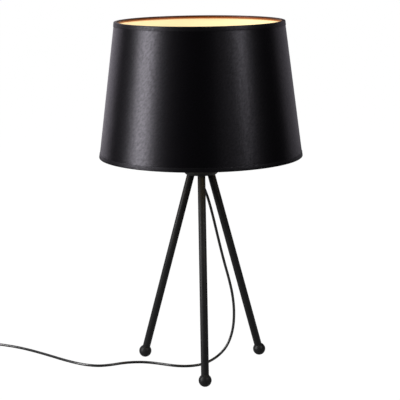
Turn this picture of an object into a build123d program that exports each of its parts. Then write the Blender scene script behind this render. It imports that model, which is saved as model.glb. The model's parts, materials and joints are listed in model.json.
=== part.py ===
from build123d import *
import math
import os

# Tripod table lamp. Millimetres, +Z up, origin on the floor under the lamp's axis.
# The front leg points along -Y.

# Shade: a tapered drum, measured over its hems
shade_bottom_d = 300.0
shade_top_d = 249.0
shade_height = 198.0
cover_wall = 0.7
lining_wall = 0.4
hem_wall = 0.5
hem_height = 6.5
hem_round = 0.9
glue_gap = 0.05
edge_wire_d = 3.0
wire_gap = 0.1

# Fitter: the ring and arms that carry the shade
fitter_rise = 28.0          # from the shade's lower edge up to the fitter ring
fitter_hole_d = 42.0
fitter_ring_d = 56.0
fitter_ring_wall = 1.2
arm_wire_d = 3.0
arm_count = 3
arm_first_angle = 90.0
arm_notch_gap = 0.4
weld_depth = 0.3

# Hub
hub_d = 54.0
hub_height = 18.0
hub_chamfer = 4.2
hub_round = 0.6
hub_underside_z = 295.0
nut_recess_d = 17.4
nut_recess_depth = 5.0

# Legs and feet
leg_names = ("front", "right", "left")
front_leg_angle = 270.0
leg_d = 11.5
leg_wall = 1.0
leg_circle_r = 16.7         # leg axes at the hub's underside
foot_circle_r = 102.0
leg_seat_depth = 4.0        # how far a leg goes into the hub
ball_d = 19.0
ball_flat_depth = 0.5
ball_seat_offset = 3.0      # from the ball's centre to the leg's end
plug_length = 14.0
leg_stud_d = 6.0
leg_stud_grip = 9.0         # stud length in the plug, and again in the hub
foot_stud_d = 5.0
foot_stud_grip = 6.5        # stud length in the ball below the leg's end
foot_stud_hold = 12.0       # stud length in the plug
socket_gap = 0.1
thread_gap = 0.05
hole_run_out = 1.0

# Hollow stem, its nut and the cord grip
stem_d = 10.0
stem_bore_d = 7.6
stem_hold = 9.0             # stem length inside the lampholder's cap
washer_wall = 1.0
washer_d = 16.0
stem_nut_flats = 14.0
stem_nut_height = 3.0
grip_barrel_length = 13.0
grip_flange_d = 11.0
grip_flange_wall = 2.0
grip_nose_length = 5.0
grip_nose_wall = 1.2

# Lampholder
cap_d = 40.0
cap_height = 20.0
cap_wall = 2.5
cap_boss_height = 10.0
cap_boss_wall = 3.0
cap_round = 5.0
spigot_d = 34.0
spigot_height = 6.0
spigot_wall = 2.0
block_height = 8.0
sleeve_d = 39.0
sleeve_height = 38.0
sleeve_upper_wall = 3.7
sleeve_lip_height = 3.5
sleeve_lip_gap = 1.3        # lip to bulb cap
shell_height = 19.0
shell_wall = 0.5
shell_flange_wall = 0.6
shell_flange_reach = 1.6
contact_wall = 0.5
contact_width = 6.0
contact_lift = 1.0
contact_foot_x = 10.0
terminal_x = 9.0
terminal_depth = 6.0        # wire length inside the block
terminal_screw_d = 2.5
terminal_head_d = 4.0
terminal_head_height = 1.7
block_skin = 0.3            # block left outside the terminal screw's head

# Ring nuts on the lampholder's thread
nut_flange_d = 50.0
nut_flange_wall = 2.5
nut_collar_d = 45.0
nut_collar_height = 4.0
nut_running_gap = 0.08
nut_ribs = 24
nut_rib_d = 2.0
fitter_above_base = 37.0    # fitter ring above the lampholder's base
seat_gap = 0.1

# Bulb
bulb_cap_d = 26.0
bulb_cap_wall = 0.4
bulb_cap_height = 18.4
bulb_shell_gap = 0.5        # bulb cap to screw shell
bulb_contact_gap = 0.2
tip_d = 9.5
tip_height = 1.8
tip_round = 0.8
insulator_height = 5.8
globe_d = 60.0
globe_wall = 1.0
globe_neck_d = 26.8
globe_neck_height = 10.0
globe_centre_rise = 50.0    # from the bulb cap's rim to the globe's centre
globe_tail = 5.0            # neck length inside the bulb cap
led_board_wall = 1.5

# Cord and its wires
cord_d = 4.0
cord_hole_gap = 0.1
arc_share = 0.45            # of the shorter run, taken by the arc at each point of a route
wire_d = 1.6
wire_spread = 2.0
wire_straight = 2.0
wire_bend_r = 2.5
sheath_end_rise = 1.0       # sheath end above the stem's end

# In-line switch, lying along Y
switch_x = -372.0
switch_y = 49.0
switch_length = 50.0
switch_width = 24.0
switch_height = 18.0
switch_split_z = 8.5
switch_wall = 1.6
switch_corner_r = 6.0
switch_edge_r = 1.4
switch_cord_hold = 8.0
switch_nose_length = 20.0
switch_nose_d = 11.0
relief_tip_wall = 1.0       # round the cord at the tip of each strain relief
rocker_r = 9.7
rocker_width = 11.0
rocker_pivot_z = 14.0
rocker_depth = 2.5
rocker_ridge = 5.6
rocker_dip = 1.2
rocker_throw = 16.0
rocker_gap = 0.3
trunnion_d = 3.0
trunnion_length = 1.6
trunnion_gap = 0.05
boss_width = 2.4
boss_length = 8.0
boss_drop = 2.0             # boss below the trunnion's axis
post_d = 5.6
post_x = 7.5
post_y = 18.0
switch_screw_d = 2.4
switch_screw_head_d = 4.4
switch_screw_head_height = 1.8
switch_screw_skin = 2.0     # cover left above the screw's tip
strip_width = 3.0
strip_length = 20.0
strip_wall = 0.8
strip_x = 5.0

# Coil of spare cord and its tie
coil_y = -40.0
coil_outer_r = 29.0
coil_z = 3.3
coil_step = 4.6             # spiral step of each turn
coil_layer = 4.5            # height of the second layer above the first
coil_turns_in = 3.0
coil_turns_out = 2.5
coil_climb = 0.5
coil_start_angle = 180.0
gap_samples = 150           # points a turn for the printed gap
tie_width = 6.0
tie_wall = 0.8
tie_gap = 0.5
tie_round = 2.0
tie_turn = 0.75             # turns from the coil's start to the tie

# Two-pin plug, lying along Y
plug_face_y = -129.0
plug_thickness = 13.7
plug_face_width = 35.3
plug_face_depth = 7.0
plug_waist_width = 21.0
plug_waist_depth = 18.0
plug_grip_width = 19.0
plug_grip_depth = 27.0
plug_nose_width = 9.5
plug_body_length = 36.0
plug_nose_thickness = 9.5
plug_round = 1.8
plug_cord_hold = 6.0
plug_relief_length = 22.0
plug_relief_d = 8.8
pin_d = 4.0
pin_spacing = 19.0
pin_length = 19.0
pin_core_d = 3.0
pin_root = 9.0
pin_round = 1.0
sleeve_band_d = 3.6
sleeve_band_length = 10.0

# Places worked out from the sizes above
leg_angles = {name: front_leg_angle + 360 * i / len(leg_names) for i, name in enumerate(leg_names)}
ball_r = ball_d / 2
ball_z = ball_r - ball_flat_depth
leg_r = leg_d / 2
leg_bore_r = leg_r - leg_wall
cord_r = cord_d / 2
cord_hole_r = cord_r + cord_hole_gap
relief_tip_r = cord_hole_r + relief_tip_wall
hub_top_z = hub_underside_z + hub_height
stem_r = stem_d / 2
stem_hole_r = stem_r + thread_gap
stem_top_z = hub_top_z + stem_hold
grip_z = hub_underside_z - grip_flange_wall - grip_nose_length
sheath_top_z = stem_top_z + sheath_end_rise
cap_top_z = hub_top_z + cap_height
block_z = cap_top_z + spigot_height
block_top_z = block_z + block_height
block_r = spigot_d / 2
sleeve_r = sleeve_d / 2
sleeve_top_z = cap_top_z + sleeve_height
shell_in_r = bulb_cap_d / 2 + bulb_shell_gap
shell_out_r = shell_in_r + shell_wall
tip_z = block_top_z + contact_lift + contact_wall + bulb_contact_gap
insulator_z = tip_z + tip_height
bulb_cap_z = insulator_z + insulator_height
bulb_rim_z = bulb_cap_z + bulb_cap_height
fitter_z = hub_top_z + fitter_above_base
shade_bottom_z = fitter_z - fitter_rise
shade_top_z = shade_bottom_z + shade_height
shade_slope = (shade_top_d - shade_bottom_d) / 2 / shade_height
ring_gap = wire_gap + edge_wire_d / 2
switch_end_y = switch_y + switch_length / 2
switch_tail_y = switch_y - switch_length / 2
switch_nose_y = switch_end_y + switch_nose_length
switch_tail_nose_y = switch_tail_y - switch_nose_length
coil_x = switch_x + coil_outer_r
plug_nose_y = plug_face_y + plug_body_length
plug_relief_y = plug_nose_y + plug_relief_length
plug_z = plug_thickness / 2
coil_turns = coil_turns_in + coil_climb + coil_turns_out

# Routes of the free cord, chosen by eye from the way it hangs and lies
lead_route = [
    (0, 0, grip_z),
    (0, 0, 281.0),
    (4.4, 0.8, 273.0),
    (8.7, 1.6, 261.5),
    (13.2, 2.4, 245.5),
    (18.4, 3.4, 224.0),
    (25.0, 4.7, 194.0),
    (32.7, 6.0, 161.0),
    (41.1, 7.5, 129.6),
    (46.2, 8.5, 104.4),
    (48.1, 9.0, 79.2),
    (46.3, 9.3, 53.0),
    (38.4, 9.0, 29.0),
    (26.2, 7.0, 14.4),
    (11.5, 1.8, 5.8),
    (-4.0, -5.4, 2.2),
    (-22.5, -11.0, cord_r),
    (-42.0, -8.2, cord_r),
    (-61.5, 2.2, cord_r),
    (-80.0, 11.4, cord_r),
    (-98.5, 15.4, cord_r),
    (-120.0, 12.8, cord_r),
    (-140.0, 2.6, cord_r),
    (-158.5, -1.5, cord_r),
    (-177.0, 4.4, cord_r),
    (-195.0, 16.6, cord_r),
    (-215.0, 34.4, cord_r),
    (-233.0, 53.0, cord_r),
    (-252.0, 71.5, cord_r),
    (-272.0, 90.0, cord_r),
    (-294.0, 107.0, cord_r),
    (-318.0, 120.5, cord_r),
    (-341.0, 127.5, 3.2),
    (-357.5, 124.0, 5.2),
    (-367.5, 115.5, 7.2),
    (switch_x, 104.0, switch_split_z),
    (switch_x, switch_nose_y, switch_split_z),
]
tail_route = [
    (switch_x, switch_tail_nose_y, switch_split_z),
    (switch_x, -5.5, switch_split_z),
    (switch_x - 1.2, -16.0, 5.8),
    (switch_x, -26.5, coil_z),
    (switch_x, coil_y + cord_d, coil_z),
]


def rod(radius, start, end):
    """A cylinder along Z from one height to another."""
    return Pos(0, 0, start) * Cylinder(radius, end - start, align=(Align.CENTER, Align.CENTER, Align.MIN))


def pipe(outer, inner, start, end):
    """A hollow cylinder along Z."""
    return rod(outer, start, end) - rod(inner, start, end)


def turned(*profile):
    """A solid turned about Z from corners (radius, height) or (radius, height, rounding)."""
    corners = [(corner[0], 0, corner[1]) for corner in profile]
    rounds = [corner[2] if len(corner) > 2 else 0 for corner in profile]
    return revolve(make_face(FilletPolyline(*corners, radius=rounds, close=True)), Axis.Z)


def block(low, high):
    """A box between two opposite corners."""
    size = [b - a for a, b in zip(low, high)]
    middle = [(a + b) / 2 for a, b in zip(low, high)]
    return Pos(*middle) * Box(*size)


def around(count, first_angle, piece):
    """Copies of a piece turned evenly about Z."""
    return [Rot(0, 0, first_angle + 360 * i / count) * piece for i in range(count)]


def swept_tube(path, radius):
    """A round tube along a path."""
    start = Plane(origin=path @ 0, z_dir=path % 0)
    return sweep(start * Circle(radius), path=path)


def bend_radii(route):
    """The largest arc that the two runs at each inner point of a route allow."""
    points = [Vector(*point) for point in route]
    radii = []
    for before, here, after in zip(points, points[1:], points[2:]):
        turn = math.radians((here - before).get_angle(after - here))
        shorter = min((here - before).length, (after - here).length)
        radii.append(arc_share * shorter / math.tan(turn / 2))
    return radii


def cord_tube(name, route, radius):
    """A cord along straight runs joined by tangent arcs, with its size printed."""
    radii = bend_radii(route)
    path = FilletPolyline(*route, radius=radii)
    tube = swept_tube(path, radius)
    expected = math.pi * radius**2 * path.length
    print(f"{name}: length {path.length:.1f}, radii {min(radii):.1f} to {max(radii):.1f},",
          f"volume over section times length {tube.volume / expected:.4f}")
    return tube


# Shade

def hem_out(z):
    return shade_bottom_d / 2 + shade_slope * (z - shade_bottom_z)


def cover_out(z):
    return hem_out(z) - hem_wall - glue_gap


def lining_out(z):
    return cover_out(z) - cover_wall - glue_gap


def lining_in(z):
    return lining_out(z) - lining_wall


def drum_wall(outside, wall):
    """A conical sheet that ends just inside the two hems."""
    low = shade_bottom_z + hem_wall + glue_gap
    high = shade_top_z - hem_wall - glue_gap
    return turned(
        (outside(low), low), (outside(high), high), (outside(high) - wall, high), (outside(low) - wall, low))


def hem(edge_z, inward):
    """A band folded over an edge of the drum and round its wire; inward is +1 or -1 along Z."""
    ring_r = edge_ring_r(edge_z, inward)
    band_z = edge_z + inward * hem_height
    cap_z = edge_z + inward * hem_wall
    tuck_z = cap_z + inward * (edge_wire_d + 2 * wire_gap)
    tuck_end_z = tuck_z + inward * hem_wall
    inner_r = ring_r - ring_gap - hem_wall
    return turned(
        (hem_out(band_z), band_z),
        (hem_out(edge_z), edge_z, hem_round),
        (inner_r, edge_z, hem_round),
        (inner_r, tuck_end_z, hem_round),
        (lining_in(tuck_end_z) - glue_gap, tuck_end_z),
        (lining_in(tuck_z) - glue_gap, tuck_z),
        (inner_r + hem_wall, tuck_z),
        (inner_r + hem_wall, cap_z),
        (hem_out(cap_z) - hem_wall, cap_z),
        (hem_out(band_z) - hem_wall, band_z))


def edge_ring_z(edge_z, inward):
    return edge_z + inward * (hem_wall + ring_gap)


def edge_ring_r(edge_z, inward):
    reach = edge_z + inward * (hem_wall + 2 * ring_gap)
    return min(lining_in(edge_z), lining_in(reach)) - ring_gap


def edge_ring(edge_z, inward):
    return Pos(0, 0, edge_ring_z(edge_z, inward)) * Torus(edge_ring_r(edge_z, inward), edge_wire_d / 2)


def arm_line():
    """The arm's ends in the XZ plane: on the lower edge wire and on the fitter ring."""
    ring = Vector(edge_ring_r(shade_bottom_z, 1), 0, edge_ring_z(shade_bottom_z, 1))
    fitter = Vector(fitter_ring_d / 2 - weld_depth, 0, fitter_z + fitter_ring_wall / 2)
    along = (fitter - ring).normalized()
    return ring + along * (edge_wire_d / 2 - weld_depth), fitter


def arm(radius):
    outer, inner = arm_line()
    reach = inner - outer
    return Plane(origin=outer, z_dir=reach) * rod(radius, 0, reach.length)


def fitter_arms():
    return around(arm_count, arm_first_angle, arm(arm_wire_d / 2))


def bottom_hem():
    notches = around(arm_count, arm_first_angle, arm(arm_wire_d / 2 + arm_notch_gap))
    return hem(shade_bottom_z, 1) - notches


def fitter_ring():
    return pipe(fitter_ring_d / 2, fitter_hole_d / 2, fitter_z, fitter_z + fitter_ring_wall)


# Legs and feet

def leg_ends(angle):
    """The centre of a foot and the point where the leg's axis meets the hub's underside."""
    toward = Vector(1, 0, 0).rotate(Axis.Z, angle)
    foot = toward * foot_circle_r + Vector(0, 0, ball_z)
    top = toward * leg_circle_r + Vector(0, 0, hub_underside_z)
    return foot, top


def leg_plane(angle):
    """A frame at the foot's centre with its Z axis up the leg."""
    foot, top = leg_ends(angle)
    return Plane(origin=foot, z_dir=top - foot)


leg_reach = (leg_ends(0)[1] - leg_ends(0)[0]).length
leg_end = leg_reach + leg_seat_depth
foot_plug_end = ball_seat_offset + plug_length
foot_stud_top = ball_seat_offset + foot_stud_hold
foot_stud_foot = ball_seat_offset - foot_stud_grip


def leg_tube(angle):
    return leg_plane(angle) * pipe(leg_r, leg_bore_r, ball_seat_offset, leg_end)


def top_plug(angle):
    hole = rod(leg_stud_d / 2 + thread_gap, leg_end - leg_stud_grip, leg_end)
    return leg_plane(angle) * (rod(leg_bore_r - thread_gap, leg_end - plug_length, leg_end) - hole)


def leg_stud(angle):
    return leg_plane(angle) * rod(leg_stud_d / 2, leg_end - leg_stud_grip, leg_end + leg_stud_grip)


def foot_plug(angle):
    hole = rod(foot_stud_d / 2 + thread_gap, ball_seat_offset, foot_stud_top)
    return leg_plane(angle) * (rod(leg_bore_r - thread_gap, ball_seat_offset, foot_plug_end) - hole)


def foot_stud(angle):
    return leg_plane(angle) * rod(foot_stud_d / 2, foot_stud_foot, foot_stud_top)


def ball_foot(angle):
    socket = rod(leg_r + socket_gap, ball_seat_offset, ball_d)
    hole = rod(foot_stud_d / 2 + thread_gap, foot_stud_foot, ball_seat_offset)
    ball = leg_plane(angle) * (Sphere(ball_r) - socket - hole)
    foot, _ = leg_ends(angle)
    floor_cut = block((foot.X - ball_d, foot.Y - ball_d, -ball_d), (foot.X + ball_d, foot.Y + ball_d, 0))
    return ball - floor_cut


def each_leg(piece):
    return [piece(angle) for angle in leg_angles.values()]


# Hub and stem

def hub():
    radius = hub_d / 2
    disc = turned(
        (stem_hole_r, hub_underside_z),
        (radius - hub_chamfer, hub_underside_z, hub_round),
        (radius, hub_underside_z + hub_chamfer, hub_round),
        (radius, hub_top_z, hub_round),
        (stem_hole_r, hub_top_z))
    disc -= rod(nut_recess_d / 2, hub_underside_z, hub_underside_z + nut_recess_depth)
    socket = rod(leg_r + socket_gap, leg_reach - leg_d, leg_end)
    stud_hole = rod(leg_stud_d / 2 + thread_gap, leg_end, leg_end + leg_stud_grip + hole_run_out)
    for angle in leg_angles.values():
        disc -= leg_plane(angle) * (socket + stud_hole)
    return disc


def stem():
    return pipe(stem_r, stem_bore_d / 2, hub_underside_z, stem_top_z)


washer_z = hub_underside_z + nut_recess_depth - washer_wall
stem_nut_z = washer_z - stem_nut_height


def stem_washer():
    return pipe(washer_d / 2, stem_hole_r, washer_z, washer_z + washer_wall)


def stem_nut():
    hexagon = extrude(RegularPolygon(stem_nut_flats / 2, 6, major_radius=False), stem_nut_height)
    return Pos(0, 0, stem_nut_z) * hexagon - rod(stem_hole_r, stem_nut_z, washer_z)


def cord_grip():
    flange_z = hub_underside_z - grip_flange_wall
    barrel_r = stem_bore_d / 2 - thread_gap
    return turned(
        (cord_hole_r, grip_z),
        (cord_hole_r + grip_nose_wall, grip_z, grip_nose_wall / 2),
        (barrel_r, flange_z),
        (grip_flange_d / 2, flange_z, grip_flange_wall / 3),
        (grip_flange_d / 2, hub_underside_z),
        (barrel_r, hub_underside_z),
        (barrel_r, hub_underside_z + grip_barrel_length),
        (cord_hole_r, hub_underside_z + grip_barrel_length))


def supply_wires():
    """The two cores, spread from the end of the sheath to the terminals."""
    wires = []
    for side in (-1, 1):
        start_x = side * wire_spread / 2
        end_x = side * terminal_x
        path = FilletPolyline(
            (start_x, 0, sheath_top_z),
            (start_x, 0, sheath_top_z + wire_straight + wire_bend_r / 2),
            (end_x, 0, block_z - wire_straight - wire_bend_r / 2),
            (end_x, 0, block_z + terminal_depth),
            radius=wire_bend_r)
        wires.append(swept_tube(path, wire_d / 2))
    return wires


# Lampholder

def holder_cap():
    radius = cap_d / 2
    boss_r = stem_r + cap_boss_wall
    spigot_r = spigot_d / 2
    spigot_in = spigot_r - spigot_wall
    boss_top_z = hub_top_z + cap_boss_height
    return turned(
        (stem_hole_r, hub_top_z),
        (radius, hub_top_z, cap_round),
        (radius, cap_top_z),
        (spigot_r, cap_top_z),
        (spigot_r, block_z),
        (spigot_in, block_z),
        (spigot_in, hub_top_z + cap_wall, cap_wall / 2),
        (boss_r, hub_top_z + cap_wall, cap_wall / 2),
        (boss_r, boss_top_z),
        (stem_hole_r, boss_top_z))


def terminal_screw():
    """A horizontal screw that presses on the wire, from outside the block."""
    tip_x = terminal_x + wire_d / 2 + thread_gap
    head_x = block_r - block_skin - terminal_head_height
    shank = rod(terminal_screw_d / 2, tip_x, head_x)
    head = rod(terminal_head_d / 2, head_x, head_x + terminal_head_height)
    return Pos(0, 0, block_z + block_height / 2) * (Rot(0, 90, 0) * (shank + head))


def terminal_hole():
    head_x = block_r - block_skin - terminal_head_height - thread_gap
    shank = rod(terminal_screw_d / 2 + thread_gap, terminal_x, head_x)
    head = rod(terminal_head_d / 2 + thread_gap, head_x, block_r + hole_run_out)
    return Pos(0, 0, block_z + block_height / 2) * (Rot(0, 90, 0) * (shank + head))


def holder_block():
    solid = rod(block_r, block_z, block_top_z)
    wire_hole = Pos(terminal_x, 0, 0) * rod(
        wire_d / 2 + thread_gap, block_z, block_z + terminal_depth + thread_gap)
    for piece in around(2, 0, terminal_hole() + wire_hole):
        solid -= piece
    return solid


def holder_shell():
    top_z = block_top_z + shell_height
    flange_z = block_top_z + shell_flange_wall
    return turned(
        (shell_in_r, block_top_z),
        (shell_out_r + shell_flange_reach, block_top_z),
        (shell_out_r + shell_flange_reach, flange_z),
        (shell_out_r, flange_z),
        (shell_out_r, top_z),
        (shell_in_r, top_z))


def holder_contact():
    """A leaf bent up from the block under the bulb's tip."""
    leaf_z = block_top_z + contact_lift
    leaf_top_z = leaf_z + contact_wall
    half = contact_width / 2
    leaf = block((-contact_foot_x, -half, leaf_z), (tip_d / 2, half, leaf_top_z))
    foot = block((-contact_foot_x, -half, block_top_z), (-contact_foot_x + contact_wall, half, leaf_z))
    return leaf + foot


def holder_sleeve():
    upper_in = sleeve_r - sleeve_upper_wall
    lower_in = spigot_d / 2 + thread_gap
    lip_in = bulb_cap_d / 2 + sleeve_lip_gap
    step_z = block_top_z + thread_gap
    lip_z = sleeve_top_z - sleeve_lip_height
    return turned(
        (lower_in, cap_top_z),
        (sleeve_r, cap_top_z),
        (sleeve_r, sleeve_top_z, sleeve_upper_wall / 4),
        (lip_in, sleeve_top_z, sleeve_upper_wall / 4),
        (lip_in, lip_z),
        (upper_in, lip_z),
        (upper_in, step_z),
        (lower_in, step_z))


def shade_nut(flange_z, outward):
    """A ring nut with a ribbed collar; outward is +1 where the collar stands above the flange."""
    bore_r = sleeve_r + nut_running_gap
    face_z = flange_z + outward * nut_flange_wall
    collar_z = face_z + outward * nut_collar_height
    nut = turned(
        (bore_r, flange_z),
        (nut_flange_d / 2, flange_z),
        (nut_flange_d / 2, face_z, nut_flange_wall / 3),
        (nut_collar_d / 2, face_z),
        (nut_collar_d / 2, collar_z, nut_flange_wall / 3),
        (bore_r, collar_z))
    low, high = sorted((face_z, collar_z + outward * hole_run_out))
    groove = Pos(nut_collar_d / 2 + nut_rib_d / 4, 0, 0) * rod(nut_rib_d / 2, low, high)
    return nut - around(nut_ribs, 0, groove)


# Bulb

def bulb_tip():
    return turned(
        (0, tip_z), (tip_d / 2, tip_z, tip_round), (tip_d / 2, insulator_z), (0, insulator_z))


def bulb_insulator():
    return turned(
        (0, insulator_z),
        (tip_d / 2, insulator_z),
        (bulb_cap_d / 2 - 2 * bulb_cap_wall, bulb_cap_z),
        (0, bulb_cap_z))


def bulb_cap():
    radius = bulb_cap_d / 2
    inner = radius - bulb_cap_wall
    return turned(
        (tip_d / 2, bulb_cap_z),
        (radius, bulb_cap_z, 2 * bulb_cap_wall),
        (radius, bulb_rim_z),
        (inner, bulb_rim_z),
        (inner, bulb_cap_z + bulb_cap_wall, bulb_cap_wall),
        (tip_d / 2, bulb_cap_z + bulb_cap_wall))


def globe_shape(inset):
    """The pear outline: a straight neck, a hollow arc and a round top, shrunk by an inset."""
    neck_r = globe_neck_d / 2
    globe_r = globe_d / 2
    neck_z = bulb_rim_z + globe_neck_height
    centre_z = bulb_rim_z + globe_centre_rise
    rise = centre_z - neck_z
    hollow_r = (rise**2 + neck_r**2 - globe_r**2) / (2 * (globe_r - neck_r))
    meet = globe_r / (globe_r + hollow_r)
    meet_r = (neck_r + hollow_r) * meet
    meet_z = centre_z - rise * meet
    shrink = (globe_r - inset) / globe_r
    start_z = bulb_rim_z + inset
    inner_neck = neck_r - inset
    meet_point = (meet_r * shrink, 0, centre_z - (centre_z - meet_z) * shrink)
    top_z = centre_z + globe_r - inset
    axis_line = Polyline((0, 0, top_z), (0, 0, start_z), (inner_neck, 0, start_z), (inner_neck, 0, neck_z))
    hollow = TangentArc((inner_neck, 0, neck_z), meet_point, tangent=(0, 0, 1))
    dome = TangentArc((0, 0, top_z), meet_point, tangent=(1, 0, 0))
    return revolve(make_face([*axis_line.edges(), hollow, dome]), Axis.Z)


def bulb_globe():
    tail_r = bulb_cap_d / 2 - bulb_cap_wall - thread_gap
    board_z = bulb_rim_z + globe_wall
    tail = pipe(tail_r, tail_r - globe_wall, bulb_rim_z - globe_tail, board_z)
    mouth = rod(tail_r - globe_wall, bulb_rim_z, board_z)
    return globe_shape(0) - globe_shape(globe_wall) - mouth + tail


def led_board():
    """The lit board, held in the neck by the globe's tail."""
    board_z = bulb_rim_z - globe_tail
    return rod(bulb_cap_d / 2 - bulb_cap_wall - thread_gap, board_z - led_board_wall, board_z)


# In-line switch

def switch_outline(inset):
    return RectangleRounded(
        switch_width - 2 * inset, switch_length - 2 * inset, switch_corner_r - inset)


def at_switch(piece):
    return Pos(switch_x, switch_y, 0) * piece


def switch_posts(low, high, diameter):
    return [Pos(side * post_x, side * post_y, 0) * rod(diameter / 2, low, high) for side in (-1, 1)]


def cord_passage():
    along = Rot(90, 0, 0) * Cylinder(cord_hole_r, switch_length + 2 * switch_nose_length + cord_d)
    return Pos(0, 0, switch_split_z) * along


def switch_noses(low, high):
    """The strain relief at each end of the case, between two heights."""
    root_y = switch_length / 2 - switch_wall
    nose = Cone(switch_nose_d / 2, relief_tip_r, switch_nose_length + switch_wall,
                align=(Align.CENTER, Align.CENTER, Align.MIN))
    nose = Pos(0, root_y, switch_split_z) * (Rot(-90, 0, 0) * nose)
    layer = block((-switch_width, -2 * switch_length, low), (switch_width, 2 * switch_length, high))
    return around(2, 0, nose & layer)


def switch_base():
    case = extrude(switch_outline(0), switch_split_z)
    case = fillet(case.faces().sort_by(Axis.Z)[0].edges(), switch_edge_r)
    case -= Pos(0, 0, switch_wall) * extrude(switch_outline(switch_wall), switch_split_z)
    case += switch_posts(switch_wall, switch_split_z, post_d)
    case -= switch_posts(0, switch_split_z, switch_screw_d + 2 * thread_gap)
    case -= switch_posts(0, switch_screw_head_height, switch_screw_head_d + 2 * thread_gap)
    case += switch_noses(0, switch_split_z)
    return at_switch(case - cord_passage())


def switch_cover():
    depth = switch_height - switch_split_z
    case = extrude(switch_outline(0), depth)
    case = fillet(case.faces().sort_by(Axis.Z)[-1].edges(), switch_edge_r)
    case -= extrude(switch_outline(switch_wall), depth - switch_wall)
    case = Pos(0, 0, switch_split_z) * case
    ceiling_z = switch_height - switch_wall
    case += switch_posts(switch_split_z, ceiling_z, post_d)
    case -= switch_posts(switch_split_z, switch_height - switch_screw_skin, switch_screw_d + 2 * thread_gap)
    opening_x = rocker_width / 2 + rocker_gap
    opening_y = rocker_r + rocker_gap
    boss_x = opening_x + boss_width
    bosses = block(
        (-boss_x, -boss_length / 2, rocker_pivot_z - boss_drop), (boss_x, boss_length / 2, ceiling_z))
    case += bosses
    above_z = switch_height + switch_wall
    case -= block((-opening_x, -opening_y, switch_split_z), (opening_x, opening_y, above_z))
    hole = Rot(0, 90, 0) * Cylinder(trunnion_d / 2 + trunnion_gap, 2 * boss_x)
    case -= Pos(0, 0, rocker_pivot_z) * hole
    case += switch_noses(switch_split_z, switch_height)
    return at_switch(case - cord_passage())


def switch_rocker():
    """A rocker with a shallow valley on top, tipped to its rest stop."""
    outline = Polyline(
        (0, -rocker_r, -rocker_depth),
        (0, rocker_r, -rocker_depth),
        (0, rocker_r, rocker_ridge),
        (0, 0, rocker_ridge - rocker_dip),
        (0, -rocker_r, rocker_ridge),
        close=True)
    body = extrude(make_face(outline), rocker_width / 2, dir=(1, 0, 0), both=True)
    body &= Rot(0, 90, 0) * Cylinder(rocker_r, rocker_width)
    body += Rot(0, 90, 0) * Cylinder(trunnion_d / 2, rocker_width + 2 * trunnion_length)
    return at_switch(Pos(0, 0, rocker_pivot_z) * (Rot(-rocker_throw / 2, 0, 0) * body))


def switch_contacts():
    half = strip_length / 2
    strip = block((-strip_width / 2, -half, switch_wall), (strip_width / 2, half, switch_wall + strip_wall))
    return [at_switch(Pos(side * strip_x, 0, 0) * strip) for side in (-1, 1)]


def switch_screws():
    shanks = switch_posts(0, switch_height - switch_screw_skin - thread_gap, switch_screw_d)
    heads = switch_posts(thread_gap, switch_screw_head_height - thread_gap, switch_screw_head_d)
    cut = block((-switch_width, -switch_length, 0), (switch_width, switch_length, thread_gap))
    return [at_switch(shank + head - cut) for shank, head in zip(shanks, heads)]


# Coil, tie and plug

def coil_radius(turn):
    reverse = coil_turns_in + coil_climb / 2
    return coil_outer_r - coil_step * (reverse - abs(turn - reverse))


def coil_point(turn):
    """The cord's centre after a number of turns: spiral in, climb a layer, spiral out."""
    angle = math.radians(coil_start_angle + 360 * turn)
    climbed = min(max((turn - coil_turns_in) / coil_climb, 0), 1)
    radius = coil_radius(turn)
    height = coil_z + coil_layer * (1 - math.cos(math.pi * climbed)) / 2
    return Vector(coil_x + radius * math.cos(angle), coil_y + radius * math.sin(angle), height)


def coil_tangent(turn):
    """The cord's direction there; at the two ends it is square to the radius."""
    if turn in (0, coil_turns):
        angle = math.radians(coil_start_angle + 360 * turn)
        return Vector(-math.sin(angle), math.cos(angle), 0)
    step = 0.01
    return (coil_point(turn + step) - coil_point(turn - step)).normalized()


def biarc(start, start_tangent, end, end_tangent):
    """Two arcs that leave and arrive along the given directions."""
    chord = end - start
    both = start_tangent + end_tangent
    spread = 2 * (1 - start_tangent.dot(end_tangent))
    reach = (math.sqrt(chord.dot(both) ** 2 + spread * chord.dot(chord)) - chord.dot(both)) / spread
    first_knot = start + start_tangent * reach
    last_knot = end - end_tangent * reach
    middle = (first_knot + last_knot) * 0.5
    return [
        TangentArc(start, middle, tangent=start_tangent),
        TangentArc(middle, end, tangent=last_knot - first_knot)]


def coil_path():
    """The coil's centre line in quarter turns, with a straight end of one diameter at each side."""
    quarters = round(4 * coil_turns)
    stops = [coil_turns * i / quarters for i in range(quarters + 1)]
    first = coil_point(0)
    last = coil_point(coil_turns)
    edges = [Line(first - coil_tangent(0) * cord_d, first)]
    for here, there in zip(stops, stops[1:]):
        edges += biarc(coil_point(here), coil_tangent(here), coil_point(there), coil_tangent(there))
    edges.append(Line(last, last + coil_tangent(coil_turns) * cord_d))
    return Wire(edges)


def least_gap(path, diameter):
    """The least gap between stretches of a wound tube that lie half a turn or more apart."""
    samples = round(gap_samples * coil_turns)
    apart = round(gap_samples / 2)
    points = [path.position_at(i / samples) for i in range(samples + 1)]
    nearest = min(
        (points[i] - points[j]).length
        for i in range(len(points))
        for j in range(i + apart, len(points)))
    return nearest - diameter


def cord_coil():
    path = coil_path()
    tube = swept_tube(path, cord_r)
    expected = math.pi * cord_r**2 * path.length
    print(f"cord_coil: length {path.length:.1f}, least gap {least_gap(path, cord_d):.2f},",
          f"volume over section times length {tube.volume / expected:.4f}")
    return tube


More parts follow.
